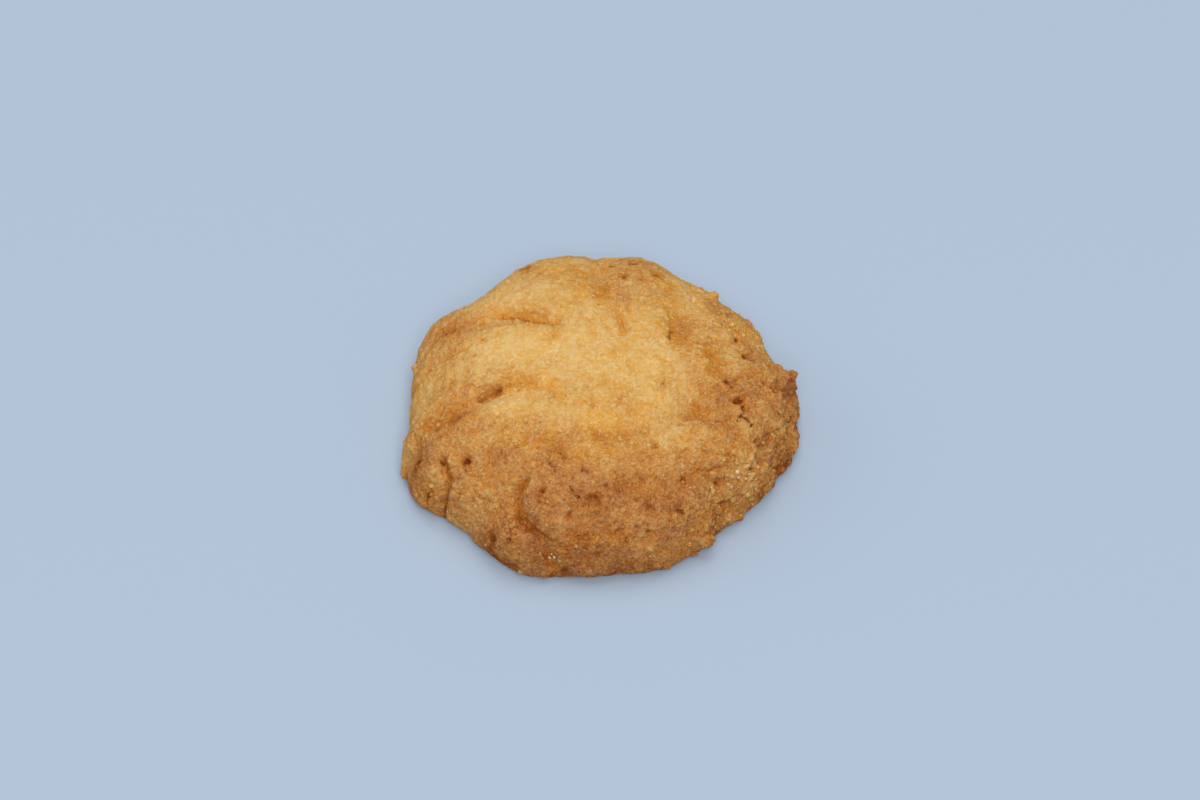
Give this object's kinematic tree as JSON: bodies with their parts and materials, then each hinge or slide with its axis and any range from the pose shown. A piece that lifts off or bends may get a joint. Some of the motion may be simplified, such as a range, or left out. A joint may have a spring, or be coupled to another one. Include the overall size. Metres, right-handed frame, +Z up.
{
  "type": "shortbread biscuit",
  "caption": "Round piped shortbread biscuit: a low dome of swirled folds that spread in baking, with a lobed edge and a flat base.",
  "frame": {"origin": "middle of the flat base, on the surface the biscuit lies on", "axes": "+Z up through the dome, -Y towards the low front edge, +X to the right"},
  "size_m": [0.059, 0.0573, 0.0161],
  "materials": {
    "baked_dough": "matt, crumbly baked dough: pale gold at the middle, browner at the edge"
  },
  "bodies": {
    "root": {"biscuit": "baked_dough"}
  },
  "joints": []
}
